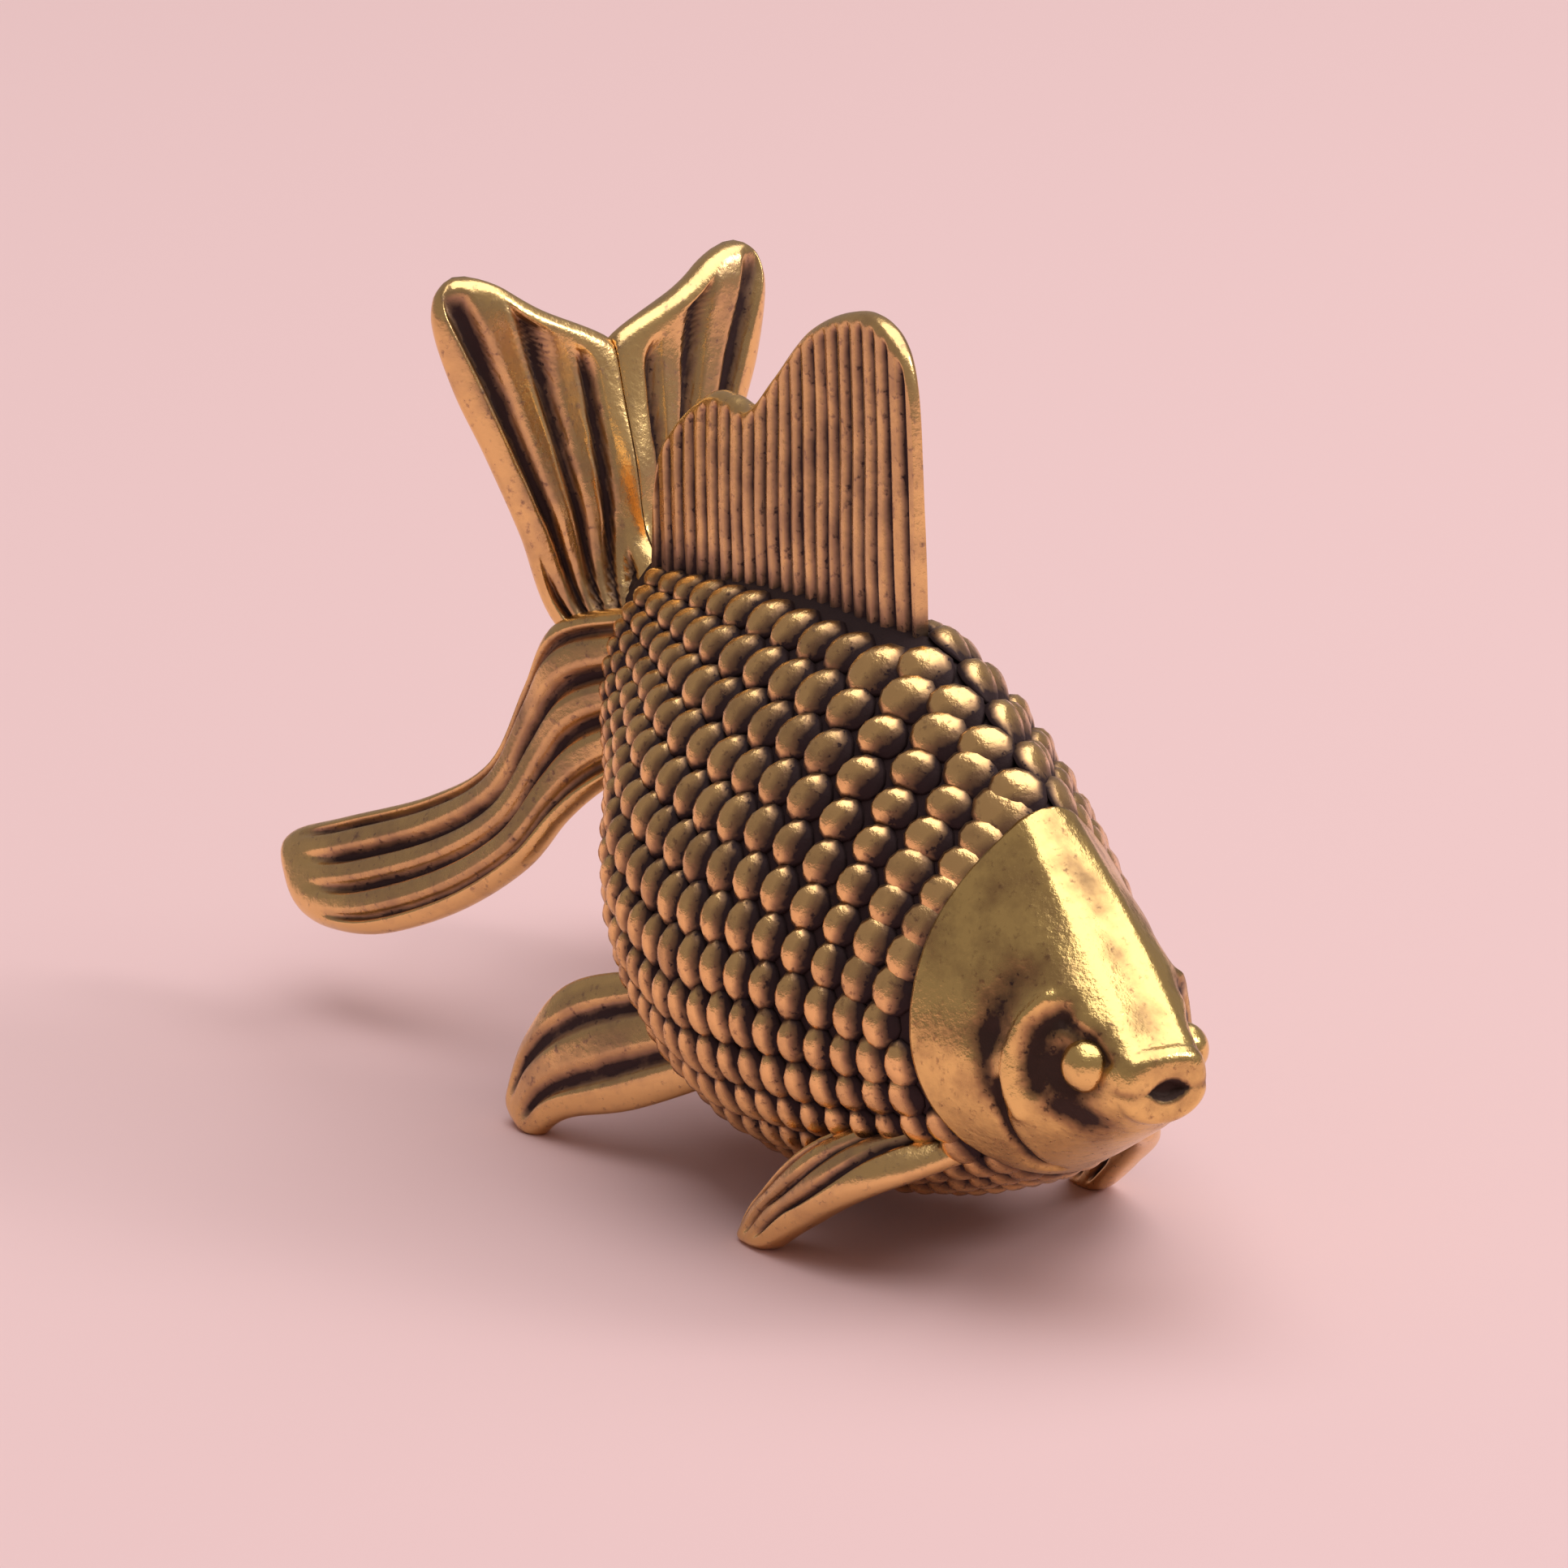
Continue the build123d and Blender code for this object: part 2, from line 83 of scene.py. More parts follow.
# %% [markdown]
# ## Rings that grow into a skin
# A fish, a fin and a snout are all skins around a line. The plain way to model one is to draw a single
# ring of vertices and then extrude it again and again, moving each new ring to its own place. The helper
# below extrudes a ring and returns the new one in the same order, which the operator alone doesn't.

# %% Ring helpers
def ring_edges(ring):
    """The edges between neighbours of a closed ring."""
    found = []
    for vertex, neighbour in zip(ring, ring[1:] + ring[:1]):
        found.append(next(edge for edge in vertex.link_edges if edge.other_vert(vertex) is neighbour))
    return found


def only_verts(items):
    """The vertices among the items that an operator returns."""
    return [item for item in items if isinstance(item, bmesh.types.BMVert)]


def first_ring(mesh, count):
    """A closed ring of vertices, whose places are set afterwards."""
    return bmesh.ops.create_circle(mesh, segments=count, radius=1.0)["verts"]


def next_ring(mesh, ring):
    """Extrude a ring and return the new one in the same order."""
    made = bmesh.ops.extrude_edge_only(mesh, edges=ring_edges(ring))["geom"]
    fresh = set(only_verts(made))
    return [next(edge.other_vert(v) for edge in v.link_edges if edge.other_vert(v) in fresh) for v in ring]


def skin(mesh, wear_and_painted_light, count, rows):
    """Extrude a ring through rows of (place, wear) pairs, one pair a vertex, and close both ends."""
    ring = first_ring(mesh, count)
    for index, row in enumerate(rows):
        if index:
            ring = next_ring(mesh, ring)
        for vertex, (place, shine) in zip(ring, row):
            vertex.co = place
            vertex[wear_and_painted_light] = shine
        if index in (0, len(rows) - 1):
            bmesh.ops.edgeloop_fill(mesh, edges=ring_edges(ring))


def mix(start, end, share):
    """The value a share of the way from start to end."""
    return start + (end - start) * share


def hold(value):
    """A value held between 0 and 1."""
    return min(max(value, 0.0), 1.0)


def ease(low, high, value):
    """A smooth step from 0 at low to 1 at high."""
    share = hold((value - low) / (high - low))
    return share * share * (3.0 - 2.0 * share)


# %% [markdown]
# ## Reading a table along a smooth line
# The fish's outline is a short table of stations. Straight lines between them would leave flat bands on
# polished metal, where every reflection shows them, so the table is read along a curve that passes
# through every row, with its slope at a row taken from the rows on either side.

# %% Smooth reading
def smooth_row(rows, place):
    """The row of a table at a place along it. Values may be numbers or vectors."""
    index = 0
    while index < len(rows) - 2 and place > rows[index + 1][0]:
        index += 1
    before, low = rows[max(index - 1, 0)], rows[index]
    high, after = rows[index + 1], rows[min(index + 2, len(rows) - 1)]
    span = high[0] - low[0]
    t = (place - low[0]) / span
    values = []
    for a, b, c, d in zip(before[1:], low[1:], high[1:], after[1:]):
        rise_low = (c - a) * (span / (high[0] - before[0]))
        rise_high = (d - b) * (span / (after[0] - low[0]))
        bend = b * 2.0 - c * 2.0 + rise_low + rise_high
        lean = c * 3.0 - b * 3.0 - rise_low * 2.0 - rise_high
        values.append(((bend * t + lean) * t + rise_low) * t + b)
    return values


# Stations of the trunk: x, half width, top, bottom and widest level
TRUNK = [
    (-8.8, 1.51, 15.61, 9.41, 12.5),
    (-4.62, 3.4, 16.29, 5.59, 10.5),
    (-0.45, 5.54, 16.88, 2.57, 8.44),
    (3.96, 6.3, 17.2, 1.3, 7.34),
    (7.67, 5.86, 17.1, 1.4, 7.2),
    (10.92, 4.91, 15.7, 2.0, 6.93),
    (14.4, 3.59, 13.7, 3.2, 6.98),
    (17.4, 2.3, 11.1, 4.5, 7.0),
]
# Stations of the head: x, half width, top, bottom and widest level
HEAD = [
    (12.4, 4.55, 15.6, 2.0, 7.2),
    (14.4, 3.94, 14.05, 2.86, 7.1),
    (16.38, 3.29, 12.38, 3.9, 7.1),
    (18.36, 2.45, 10.6, 5.05, 7.2),
    (19.81, 1.76, 9.22, 5.9, 7.2),
    (20.45, 1.46, 8.68, 6.35, 7.35),
    (21.0, 1.22, 8.3, 6.62, 7.45),
]
TAIL_END, WIDEST = TRUNK[0][0], TRUNK[3][0]
# Points on a flank's curve below and above its widest level
BELOW, ABOVE = 24, 28


@lru_cache(maxsize=None)
def flank_samples(table, level):
    """Points up one flank from the belly to the ridge, with the length of the way to each."""
    half_width, top, bottom, wide = smooth_row(TRUNK if table == "trunk" else HEAD, level)
    points = []
    for step in range(BELOW + 1):
        turn = math.pi / 2 * step / BELOW
        points.append((half_width * math.sin(turn), wide - (wide - bottom) * math.cos(turn)))
    # The trunk has a narrow ridge. The head's top is a strip that widens to the snout
    squareness = ease(14.0, 20.6, level) if table == "head" else 0.0
    flank = mix(wide, top, mix(0.38, 0.78, squareness))
    ridge = half_width * mix(0.24, 0.84, squareness)
    for step in range(1, ABOVE + 1):
        t = step / ABOVE
        a, b, c, d = (1 - t) ** 3, 3 * (1 - t) ** 2 * t, 3 * (1 - t) * t * t, t ** 3
        points.append(((a + b) * half_width + c * ridge, a * wide + b * flank + (c + d) * top))
    lengths = [0.0]
    for (y0, z0), (y1, z1) in zip(points, points[1:]):
        lengths.append(lengths[-1] + math.hypot(y1 - y0, z1 - z0))
    return points, lengths


def flank_point(table, x, girth, side):
    """A point of the fish's surface: girth runs from 0 at the belly to 1 at the ridge of the back."""
    points, lengths = flank_samples(table, round(x, 2))
    goal = hold(girth) * lengths[-1]
    index = 0
    while index < len(lengths) - 2 and goal > lengths[index + 1]:
        index += 1
    share = (goal - lengths[index]) / (lengths[index + 1] - lengths[index])
    y = mix(points[index][0], points[index + 1][0], share)
    z = mix(points[index][1], points[index + 1][1], share)
    return Vector((x, y * side, z))


def around(count):
    """Girth and side of the vertices round a ring, up the right flank and down the left one."""
    half = count // 2
    return [(k / half, -1) for k in range(half)] + [(1 - k / half, 1) for k in range(half)]


print("Girth at the widest place:", round(2 * flank_samples("trunk", WIDEST)[1][-1], 1), "mm")

# %% [markdown]
# ## Antique brass
# A fish like this is cast in brass, darkened in a bath and then rubbed, so that the patina stays in the
# hollows and the crowns shine. A photograph of dirt could be laid over it, but the wear number already
# knows where the hollows are. So one recipe of nodes mixes three colours by wear, breaks their edges up
# with noise at the scale of the casting, leaves specks of patina in the pits and raises a fine grain with
# a bump.

# %% Antique brass recipe
# Noise cells in a metre: blotches of about 1.4 mm and casting grain of about 0.24 mm
BLOTCHES, GRAINS = 700.0, 4200.0
GRAIN_DEPTH = 0.00006
SPECK_DARKENING = 0.34


def antique_brass(name, hollow, middle, crown, rough_hollow, rough_crown, pits, patches):
    """A worn metal whose colour and roughness follow the wear of each vertex."""
    finish = bpy.data.materials.new(name)
    finish.use_nodes = True
    nodes, links = finish.node_tree.nodes, finish.node_tree.links
    shader = nodes["Principled BSDF"]
    shader.inputs["Specular IOR Level"].default_value = 0.12

    def node(kind, **settings):
        made = nodes.new(kind)
        for key, value in settings.items():
            if key in made.inputs:
                made.inputs[key].default_value = value
            else:
                setattr(made, key, value)
        return made

    def remap(value, low, high, start, end, clamp=True):
        """Move a value from the range low to high into the range start to end."""
        made = node("ShaderNodeMapRange", clamp=clamp)
        for key, bound in zip(("From Min", "From Max", "To Min", "To Max"), (low, high, start, end)):
            made.inputs[key].default_value = bound
        links.new(value, made.inputs["Value"])
        return made.outputs["Result"]

    def combine(operation, first, second):
        """The sum or difference of two values."""
        made = node("ShaderNodeMath", operation=operation)
        links.new(first, made.inputs[0])
        links.new(second, made.inputs[1])
        return made.outputs["Value"]

    def noise(cells, detail):
        """Noise over the piece, with this many cells in a metre."""
        made = node("ShaderNodeTexNoise", Scale=cells, Detail=detail, Roughness=0.6)
        links.new(place, made.inputs["Vector"])
        return made.outputs["Fac"]

    place = node("ShaderNodeTexCoord").outputs["Object"]
    wear_and_painted_light = node("ShaderNodeAttribute", attribute_name="wear_and_painted_light").outputs["Fac"]
    grain = noise(GRAINS, 3.0)
    # Wear with ragged edges: blotches move it up and down, and specks stay dark in pits of the casting
    shift = remap(noise(BLOTCHES, 4.0), 0.25, 0.75, -patches, patches, clamp=False)
    specks = remap(grain, 0.58, 0.75, 0.0, SPECK_DARKENING)
    worn = combine("SUBTRACT", combine("ADD", wear_and_painted_light, shift), specks)
    tone = node("ShaderNodeValToRGB")
    tone.color_ramp.elements[0].position = 0.12
    tone.color_ramp.elements[0].color = (*hollow, 1.0)
    tone.color_ramp.elements[1].position = 0.92
    tone.color_ramp.elements[1].color = (*crown, 1.0)
    tone.color_ramp.elements.new(0.5).color = (*middle, 1.0)
    links.new(worn, tone.inputs["Fac"])
    links.new(tone.outputs["Color"], shader.inputs["Base Color"])
    links.new(remap(worn, 0.1, 0.8, rough_hollow, rough_crown), shader.inputs["Roughness"])
    links.new(remap(worn, 0.05, 0.4, 0.35, 1.0), shader.inputs["Metallic"])
    bump = node("ShaderNodeBump", Strength=pits, Distance=GRAIN_DEPTH)
    links.new(grain, bump.inputs["Height"])
    links.new(bump.outputs["Normal"], shader.inputs["Normal"])
    return finish


scaled_brass = antique_brass(
    "scaled_brass", hollow=(0.04, 0.023, 0.024), middle=(0.36, 0.21, 0.11), crown=(0.95, 0.6, 0.25),
    rough_hollow=0.6, rough_crown=0.22, pits=0.4, patches=0.2)
polished_brass = antique_brass(
    "polished_brass", hollow=(0.05, 0.028, 0.022), middle=(0.42, 0.25, 0.11), crown=(0.88, 0.6, 0.22),
    rough_hollow=0.55, rough_crown=0.22, pits=0.45, patches=0.34)
fin_brass = antique_brass(
    "fin_brass", hollow=(0.055, 0.032, 0.032), middle=(0.42, 0.26, 0.155), crown=(0.88, 0.58, 0.24),
    rough_hollow=0.6, rough_crown=0.25, pits=0.3, patches=0.2)
print("Finishes:", [m.name for m in (scaled_brass, polished_brass, fin_brass)])

# %% [markdown]
# ## The trunk under the scales
# On the real fish the trunk is one lump of metal, and what shows of it is only the dark gaps between the
# scales. So its skin is a plain one: a ring of vertices, extruded from the throat to the root of the tail.

# %% Trunk skin
TRUNK_AROUND, TRUNK_RINGS = 96, 64
TRUNK_FRONT, TRUNK_LENGTH = 17.2, 26.0
trunk, trunk_wear = start_piece()
trunk_levels = [TRUNK_FRONT - TRUNK_LENGTH * step / TRUNK_RINGS for step in range(TRUNK_RINGS + 1)]
trunk_rows = [[(flank_point("trunk", x, girth, side), 0.0) for girth, side in around(TRUNK_AROUND)]
              for x in trunk_levels]
skin(trunk, trunk_wear, TRUNK_AROUND, trunk_rows)
print("Trunk skin:", len(trunk.verts), "vertices")

# %% [markdown]
# ## One scale, hundreds of times
# Each scale is a small oval dome with a steep, round free edge to the tail and a lower front that slips
# under its neighbour. Sculpting hundreds of them would take days, and one dense dome repeated would make
# a heavy mesh, so a single dome of a few dozen faces is shaped once and duplicated. Each copy is turned
# to the surface and sized to the room that it has there.

# %% A single scale
def with_links(verts):
    """Vertices together with the edges and faces that they carry."""
    edges = list({edge for vertex in verts for edge in vertex.link_edges})
    faces = list({face for vertex in verts for face in vertex.link_faces})
    return verts + edges + faces


def scale_dome(mesh, wear_and_painted_light):
    """A dome of radius 1 with a high free edge towards +X and a front that sinks."""
    ball = bmesh.ops.create_uvsphere(mesh, u_segments=12, v_segments=8, radius=1.0)["verts"]
    cut = bmesh.ops.bisect_plane(mesh, geom=with_links(ball), plane_co=(0, 0, -0.05), plane_no=(0, 0, 1),
                                 clear_inner=True)
    verts = list(set(only_verts(cut["geom"] + cut["geom_cut"])))
    for vertex in verts:
        x, y, z = vertex.co
        # Patina stays round the foot and on the front, which is narrower, lower and longer
        vertex[wear_and_painted_light] = ease(0.2, 0.7, z) * ease(-0.7, 0.1, x)
        vertex.co.y = y * (1.0 + 0.24 * min(x, 0.0))
        vertex.co.z = z * (0.7 + 0.48 * x)
        vertex.co.x = x * 1.18 if x < 0 else x
    return with_links(verts)


# How far off neighbours are taken to find the surface's slope, and the level of the trunk's core
NEAR_X, NEAR_GIRTH, CORE_LEVEL = 0.2, 0.015, 8.5


def lay_scale(mesh, wear_and_painted_light, dome, x, girth, side, length, width, height, shine):
    """Copy the dome onto the trunk, with its free edge to the tail."""
    centre = flank_point("trunk", x, girth, side)
    behind = flank_point("trunk", x - NEAR_X, girth, side)
    tail_way = (behind - flank_point("trunk", x + NEAR_X, girth, side)).normalized()
    below = flank_point("trunk", x, girth - NEAR_GIRTH, side)
    up_way = flank_point("trunk", x, girth + NEAR_GIRTH, side) - below
    out_way = tail_way.cross(up_way).normalized()
    if out_way.dot(centre - Vector((x, 0.0, CORE_LEVEL))) < 0:
        out_way.negate()
    up_way = out_way.cross(tail_way)
    # High on the back the upper end of a scale leans forwards
    lean_share = mix(-0.05, 0.2, ease(0.45, 0.9, girth)) * (-1.0 if up_way.z > 0 else 1.0)
    lean = tail_way * lean_share * width
    turn = Matrix((tail_way * length, up_way * width + lean, out_way * height)).transposed().to_4x4()
    verts = only_verts(bmesh.ops.duplicate(mesh, geom=dome)["geom"])
    bmesh.ops.transform(mesh, matrix=Matrix.Translation(centre) @ turn, verts=verts)
    for vertex in verts:
        vertex[wear_and_painted_light] = hold(vertex[wear_and_painted_light] * shine)


# %% [markdown]
# ## Rows and leaning rings
# On the fish the scales lie in rows along the flank. Rings of them stand upright behind the gills and
# lean more and more towards the tail, because a row high on the back has longer scales than one at the
# belly. So each row gets its own spacing, and all rows start from one upright ring.

# %% Lay the scales
ROWS_A_SIDE, FIRST_ROW, ROW_STEP = 15, 0.9215, 0.0643
UPRIGHT_RING, FIRST_RING, LAST_RING = 10.5, 16.5, -7.7
BELLY_SPACING, BACK_SPACING = 0.93, 1.55
# Half length and half width of a scale as shares of its room, and its height as a share of the pitch
SCALE_LENGTH, SCALE_WIDTH, SCALE_HEIGHT, WIDEST_PITCH = 0.48, 0.62, 0.58 / 1.15, 1.25
GILL_CLEARANCE = 0.3
# Side view of the gill edge: height and x
GILL_EDGE = [(2.0, 16.6), (4.06, 15.54), (4.9, 14.88), (6.04, 14.27), (8.06, 13.71), (10.27, 13.5),
             (11.85, 13.72), (13.64, 14.33), (15.0, 15.0)]
# Larger scales in pairs along the nape, the left one of each pair a little further back
NAPE_PLACES, NAPE_GIRTH, NAPE_SIZE, NAPE_STAGGER = (13.5, 11.9, 10.3, 8.7), 0.967, (0.9, 0.8, 0.62), 0.8

chance = random.Random(11)
plain_dome = scale_dome(trunk, trunk_wear)
laid = 0
for row in range(ROWS_A_SIDE):
    girth = FIRST_ROW - ROW_STEP * row
    # Scales stand closest on the low flank and widest on the back
    spacing = mix(BELLY_SPACING, BACK_SPACING, hold((girth - 0.40) / 0.46))
    x = UPRIGHT_RING
    while x + spacing < FIRST_RING:
        x += spacing
    while x > LAST_RING:
        # Rings draw in over the rear half of the trunk
        step = spacing * mix(1.0, 0.75, hold((2.8 - x) / 11.6))
        pitch = ROW_STEP * flank_samples("trunk", round(x, 2))[1][-1]
        level = flank_point("trunk", x, girth, 1).z
        from_gill = smooth_row(GILL_EDGE, level)[0] - x
        if from_gill > GILL_CLEARANCE:
            # Scales grow towards the gills, and once more in the top row of the nape
            grow = mix(1.28, 1.0, ease(0.6, 3.2, from_gill)) * (1.16 if row == 0 and x > 6.0 else 1.0)
            height = SCALE_HEIGHT * min(pitch, WIDEST_PITCH)
            for side in (-1, 1):
                vary = grow * chance.uniform(0.96, 1.05)
                shine = chance.uniform(0.82, 1.0)
                lay_scale(trunk, trunk_wear, plain_dome, x, girth, side, step * SCALE_LENGTH * vary,
                          pitch * SCALE_WIDTH * vary, height, shine)
                laid += 1
        x -= step
for x in NAPE_PLACES:
    for side, back in ((-1, 0.0), (1, NAPE_STAGGER)):
        lay_scale(trunk, trunk_wear, plain_dome, x - back, NAPE_GIRTH, side, *NAPE_SIZE, 1.0)
        laid += 1
bmesh.ops.delete(trunk, geom=only_verts(plain_dome), context="VERTS")
print("Scales laid:", laid)

# %% Finish the trunk
finish_piece(trunk, "body_look", scaled_brass)

# %% [markdown]
# ## The head
# The head is a smooth cone, rubbed brighter than anything else, with a curved rear edge: the gill covers,
# which step proud of the scales. It is a skin of fine rings again. The rings lean with the gill edge at
# the back and stand upright at the snout, so that no row of faces is cut by the edge.

# %% Head blank
HEAD_AROUND, HEAD_RINGS = 208, 84
SNOUT = 20.5
MOUTH = Vector((SNOUT, 0.0, 7.45))
# The flat front of the snout: size and place ahead of smaller and smaller copies of the last ring
SNOUT_FRONT = [(0.988, 0.11), (0.962, 0.21), (0.925, 0.3), (0.875, 0.37), (0.81, 0.43), (0.74, 0.47),
               (0.66, 0.49), (0.58, 0.5), (0.5, 0.5), (0.42, 0.5), (0.34, 0.5), (0.26, 0.5), (0.18, 0.5),
               (0.1, 0.5)]


def head_point(along, girth, side):
    """A point of the head's smooth blank: along runs from 0 at the gill edge to 1 at the snout."""
    # The gill edge depends on the height there, so x starts from a guess and is mended a few times
    x = mix(14.2, SNOUT, along)
    for _ in range(4):
        level = flank_point("head", x, girth, side).z
        x = mix(smooth_row(GILL_EDGE, level)[0], SNOUT, along)
    return flank_point("head", x, girth, side)


head_rows = []
for step in range(HEAD_RINGS + 1):
    along = step / HEAD_RINGS
    head_rows.append([(head_point(along, girth, side), 0.0) for girth, side in around(HEAD_AROUND)])
last_row = [place for place, _ in head_rows[-1]]
for size, ahead in SNOUT_FRONT:
    forwards = Vector((ahead, 0.0, 0.0))
    head_rows.append([(MOUTH + (place - MOUTH) * size + forwards, 0.0) for place in last_row])
print("Head blank:", len(head_rows), "rings of", HEAD_AROUND)

# %% [markdown]
# ## Strokes that press and raise
# The cheek's crescent, the fold round the eye, the brow and the mouth look as if a small tool had cut
# them into the wax. We do the same with strokes: a line across the side of the head, a width, and how far
# it raises or presses the surface. A stroke that presses also darkens, because patina stays there. Behind
# the eye this darkening is painted shade, and below it a painted dark reflection.

# %% Strokes on the head
def line_distance(x, z, path):
    """How far a point of the side view lies from a line of points."""
    nearest = 1e9
    for (x0, z0), (x1, z1) in zip(path, path[1:]):
        run, rise = x1 - x0, z1 - z0
        share = hold(((x - x0) * run + (z - z0) * rise) / (run * run + rise * rise))
        nearest = min(nearest, math.hypot(x - x0 - run * share, z - z0 - rise * share))
    return nearest


# Each stroke: its line in the side view as x and z, width, rise and change of wear. In turn these are
# the lower and the upper half of the cheek's crescent and the way between them, the fold round the eye,
# the hollow behind the eye, darkened with painted shade, the patch below it, darkened as a painted dark
# reflection, the groove of the brow and the crease at the mouth
CHEEK_STROKES = [
    ([(16.85, 7.0), (16.8, 5.7), (16.65, 4.8), (16.25, 4.0)], 0.14, -0.22, -0.85),
    ([(16.8, 9.9), (16.5, 9.2), (16.4, 8.5)], 0.7, -0.2, -0.7),
    ([(16.4, 8.3), (16.35, 7.7), (16.5, 6.9), (16.75, 6.3)], 0.3, -0.12, -0.5),
    ([(17.95, 9.6), (17.45, 8.9), (17.2, 8.0), (17.2, 7.1), (17.4, 6.2)], 0.22, 0.16, 0.2),
    # The hollow behind the eye: its darkening is painted shade
    ([(18.5, 9.3), (17.95, 8.7), (17.82, 7.9), (17.98, 7.1)], 0.34, -0.22, -0.85),
    # The patch below the eye: its darkening is a painted dark reflection
    ([(18.75, 6.5), (19.45, 6.45)], 0.5, -0.12, -0.8),
    ([(18.6, 9.15), (19.5, 8.75), (20.05, 8.25)], 0.2, -0.14, -0.75),
    ([(20.9, 7.45), (20.5, 7.48)], 0.12, -0.02, -0.35),
]
EYE = (19.12, 7.9)
EYE_BALL, EYE_BOWL = 0.78, 0.98
MOUTH_HALF_WIDTH, MOUTH_HALF_HEIGHT = 0.52, 0.2


def head_relief(place):
    """How far the head is raised at a place, and its wear there, with painted shade and highlights mixed
    in.
    """
    x, z, y = place.x, place.z, abs(place.y)
    rise, shine = 0.0, 0.84
    flank = ease(0.35, 0.8, y)
    for path, width, height, change in CHEEK_STROKES:
        pull = math.exp(-((line_distance(x, z, path) / width) ** 2)) * flank
        rise += height * pull
        shine += change * pull
    reach = math.hypot(x - EYE[0], z - EYE[1])
    bowl = math.exp(-((reach / EYE_BOWL) ** 4)) * flank
    rise -= 0.22 * bowl
    shine -= 0.9 * bowl
    # The flat strip of the forehead, with a low edge on each side and a shallow valley between
    top = ease(13.0, 15.0, x) * ease(20.9, 20.0, x) * ease(8.0, 8.8, z)
    edge = math.exp(-(((y - 0.85) / 0.3) ** 2))
    valley = math.exp(-((y / 0.35) ** 2))
    rise += top * (0.07 * edge - 0.06 * valley)
    # Painted highlights on the two edges of the strip and a painted dark reflection in its valley
    shine += top * (0.16 * edge - 0.22 * valley)
    # The mouth: a dark lens in the front of the snout, patina in the slot plus painted shade that reaches
    # over the lower lip
    front = ease(20.6, 20.85, x)
    from_mouth = abs(z - MOUTH.z) - MOUTH_HALF_HEIGHT * (1.0 - (y / MOUTH_HALF_WIDTH) ** 2)
    rise -= 0.25 * front * ease(0.14, -0.1, from_mouth)
    shine -= front * ease(0.24, 0.02, from_mouth)
    return rise, hold(shine)


head, head_wear_and_painted_light = start_piece()
skin(head, head_wear_and_painted_light, HEAD_AROUND, head_rows)
head.normal_update()
head_core = Vector((17.0, 0.0, 7.5))
for vertex in head.verts:
    out_way = vertex.normal if vertex.normal.dot(vertex.co - head_core) > 0 else -vertex.normal
    rise, shine = head_relief(vertex.co)
    vertex.co += out_way * rise
    vertex[head_wear_and_painted_light] = shine
print("Head raised and pressed at", len(head.verts), "vertices")

# %% Finish the head
finish_piece(head, "head_look", polished_brass)

# %% [markdown]
# ## Eyes
# Each eye is a round bead in its socket, and a sphere from the operator is enough for it. Only the side
# that looks out is rubbed bright. Its wear fades towards the head, where patina fills the socket.

# %% Eye beads
EYE_OUT = 1.5
for node, side in (("eye_right", -1), ("eye_left", 1)):
    eye, eye_wear = start_piece()
    centre = Vector((EYE[0] + 0.05, side * EYE_OUT, EYE[1] + 0.02))
    gaze = Vector((0.35, side, 0.15)).normalized()
    bmesh.ops.create_uvsphere(eye, u_segments=40, v_segments=24, radius=EYE_BALL)
    bmesh.ops.translate(eye, vec=centre, verts=eye.verts)
    for vertex in eye.verts:
        away = (vertex.co - centre).dot(gaze) / EYE_BALL
        vertex[eye_wear] = mix(0.1, 0.95, ease(-0.1, 0.55, away))
    finish_piece(eye, node + "_look", polished_brass)

# %% [markdown]
# ## The back fin
# The back fin is a thin plate with fine upright flutes and a smooth rounded rim. Its outline is a table
# again, and the mesh is a skin of slim rings: each ring goes up one face, over the rim and down the
# other. The flutes fade out at the rim, and the fin grows darker towards its foot.

# %% Back fin
DORSAL_FRONT, DORSAL_LENGTH, DORSAL_HEIGHT, DORSAL_HALF = 7.4, 15.0, 8.8, 0.5
# Levels of the foot at its front and its rear on the ridge, and how deep it sits in the trunk
FOOT_FRONT, FOOT_REAR, FOOT_DEPTH = 17.11, 15.81, 1.1
# The fin's outline from its front foot: shares of the length back and of the height
DORSAL_OUTLINE = [(0.0, 0.0), (0.012, 0.42), (0.035, 0.82), (0.1, 0.97), (0.22, 1.0), (0.4, 0.88),
                  (0.54, 0.67), (0.635, 0.53), (0.72, 0.53), (0.8, 0.51), (0.92, 0.37), (0.985, 0.21),
                  (1.0, -0.1)]
DORSAL_TABLE = [(k / (len(DORSAL_OUTLINE) - 1), *row) for k, row in enumerate(DORSAL_OUTLINE)]
DORSAL_STEPS, DORSAL_RISE = 230, 40
DORSAL_ROUNDING = 0.4
# Flutes lean back by this share of their height above the ridge
FLUTES, FLUTE_DEPTH, FLUTE_LEAN, RIDGE_LEVEL = 21.0, 0.2, 0.07, 17.0


def dorsal_edge(travel):
    """A point of the outline a share of the way along its table, as x and z."""
    back, up = smooth_row(DORSAL_TABLE, travel)
    return DORSAL_FRONT - DORSAL_LENGTH * back, FOOT_FRONT + DORSAL_HEIGHT * up


